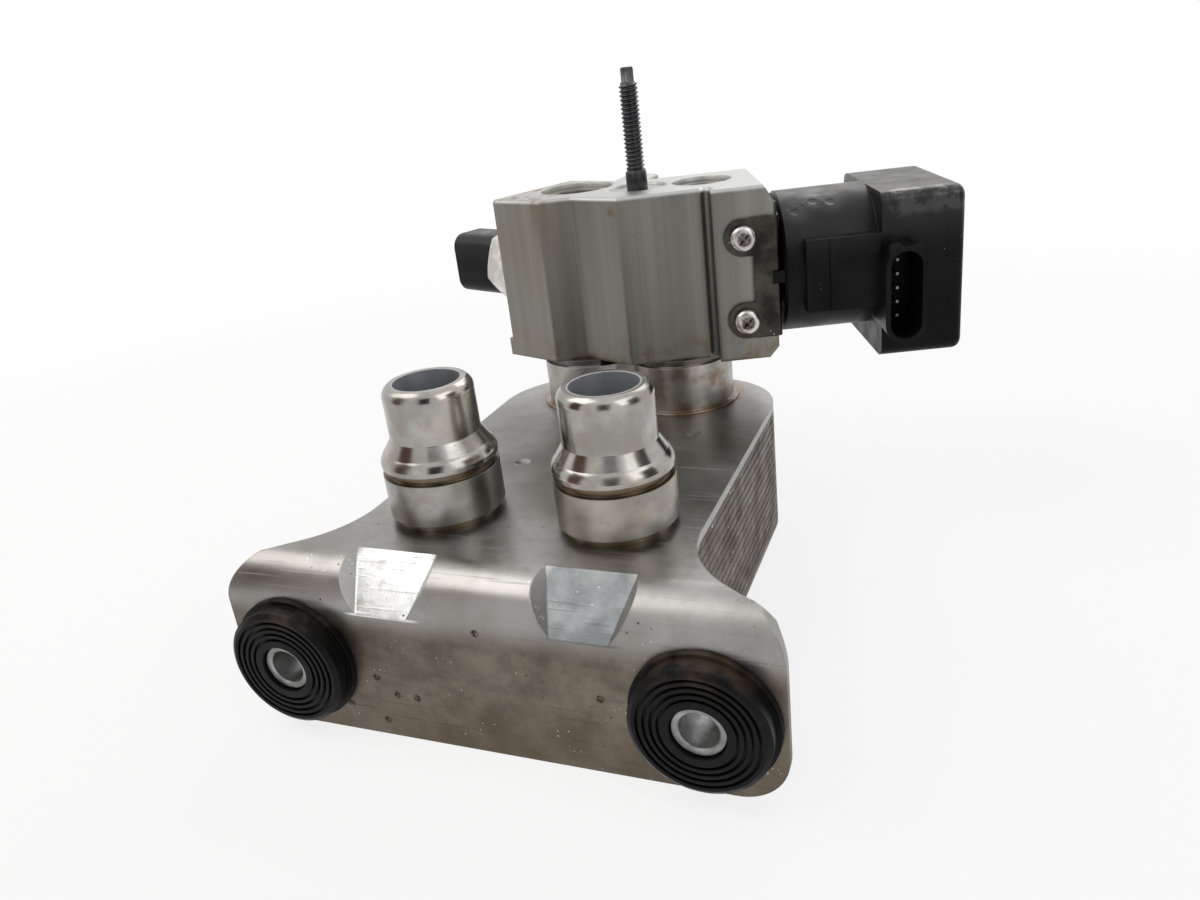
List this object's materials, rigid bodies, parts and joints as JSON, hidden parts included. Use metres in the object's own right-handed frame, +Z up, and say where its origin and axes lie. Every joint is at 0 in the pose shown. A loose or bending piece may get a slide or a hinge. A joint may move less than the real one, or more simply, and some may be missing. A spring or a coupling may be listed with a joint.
{
  "type": "plate chiller with electronic expansion valve",
  "caption": "Brazed plate chiller on a bent mounting plate with coolant spigots, rubber-mounted flange, and an electronic expansion valve with stepper actuator and sensor.",
  "frame": {"origin": "on the mounting plate's top face, midway between the axes of the two coolant spigots", "axes": "+Z up, out of the plate along the spigots; +X along the flange to the actuator's side; +Y from the flange back to the valve"},
  "size_m": [0.1823, 0.1913, 0.159],
  "materials": {
    "sheet_aluminium": "rolled and brazed sheet, satin, scratched and stained",
    "core_aluminium": "furnace-brazed sheet edges, dull and brownish",
    "turned_aluminium": "turned, polished on the tube and cone",
    "neck_aluminium": "turned and brazed, satin, brown stains",
    "block_aluminium": "extruded, fine lines along its height, milled ports",
    "stainless_sheet": "stamped stainless sheet",
    "screw_steel": "plain stainless, pan heads",
    "black_steel": "black oxide",
    "sleeve_steel": "zinc-plated, dull",
    "sensor_metal": "turned stainless, satin",
    "black_plastic": "black glass-filled moulding",
    "grommet_rubber": "ribbed black rubber, dusty",
    "seal_rubber": "moulded seal rings",
    "valve_steel": "ground stainless",
    "valve_brass": "turned brass",
    "coil_copper": "enamelled copper winding",
    "yoke_iron": "soft iron",
    "rotor_ferrite": "sintered ferrite",
    "board_green": "glass-fibre board with components",
    "contact_tin": "tinned contacts",
    "sensor_ceramic": "ceramic measuring cell"
  },
  "bodies": {
    "chiller": {"mounting_plate": "sheet_aluminium", "core_floor": "sheet_aluminium", "core_plate_01": "core_aluminium", "core_plate_02": "core_aluminium", "core_plate_03": "core_aluminium", "core_plate_04": "core_aluminium", "core_plate_05": "core_aluminium", "core_plate_06": "core_aluminium", "core_plate_07": "core_aluminium", "core_plate_08": "core_aluminium", "core_plate_09": "core_aluminium", "core_plate_10": "core_aluminium", "core_plate_11": "core_aluminium", "core_plate_12": "core_aluminium", "core_plate_13": "core_aluminium", "core_plate_14": "core_aluminium", "core_plate_15": "core_aluminium", "coolant_spigot_left": "turned_aluminium", "coolant_spigot_right": "turned_aluminium", "refrigerant_neck": "neck_aluminium", "valve_block": "block_aluminium", "clamp_plate": "stainless_sheet", "clamp_screws": "screw_steel", "pipe_stud": "black_steel", "sleeve_left": "sleeve_steel", "sleeve_right": "sleeve_steel", "sensor_body": "sensor_metal", "motor_housing": "black_plastic", "head_cover": "black_plastic", "sensor_plug": "black_plastic", "grommet_left": "grommet_rubber", "grommet_right": "grommet_rubber", "suction_seal": "seal_rubber", "liquid_seal": "seal_rubber", "cartridge_seals": "seal_rubber", "sensor_seal": "seal_rubber", "rotor_can": "valve_steel", "needle_guide": "valve_brass", "valve_seat": "valve_brass", "rotor_bush": "valve_brass", "coil_front": "coil_copper", "coil_rear": "coil_copper", "stator_yoke": "yoke_iron", "circuit_board": "board_green", "socket_pins": "contact_tin", "sensor_pins": "contact_tin", "sensor_cell": "sensor_ceramic"},
    "rotor": {"rotor_magnet": "rotor_ferrite", "rotor_shaft": "valve_steel"},
    "needle": {"valve_needle": "valve_steel"}
  },
  "joints": [
    {"name": "rotor_spin", "type": "hinge", "parent": "chiller", "child": "rotor", "pos_m": [0.05907, 0.10848, 0.044], "axis": [0.9367, 0.3502, 0], "range_deg": [0, 1150]},
    {"name": "needle_slide", "type": "slide", "parent": "chiller", "child": "needle", "axis": [0.9367, 0.3502, 0], "range_m": [0, 0.0032]}
  ],
  "couplings": [
    {"joint": "needle_slide", "follows": "rotor_spin", "m_per_rad": 0.00015915}
  ]
}
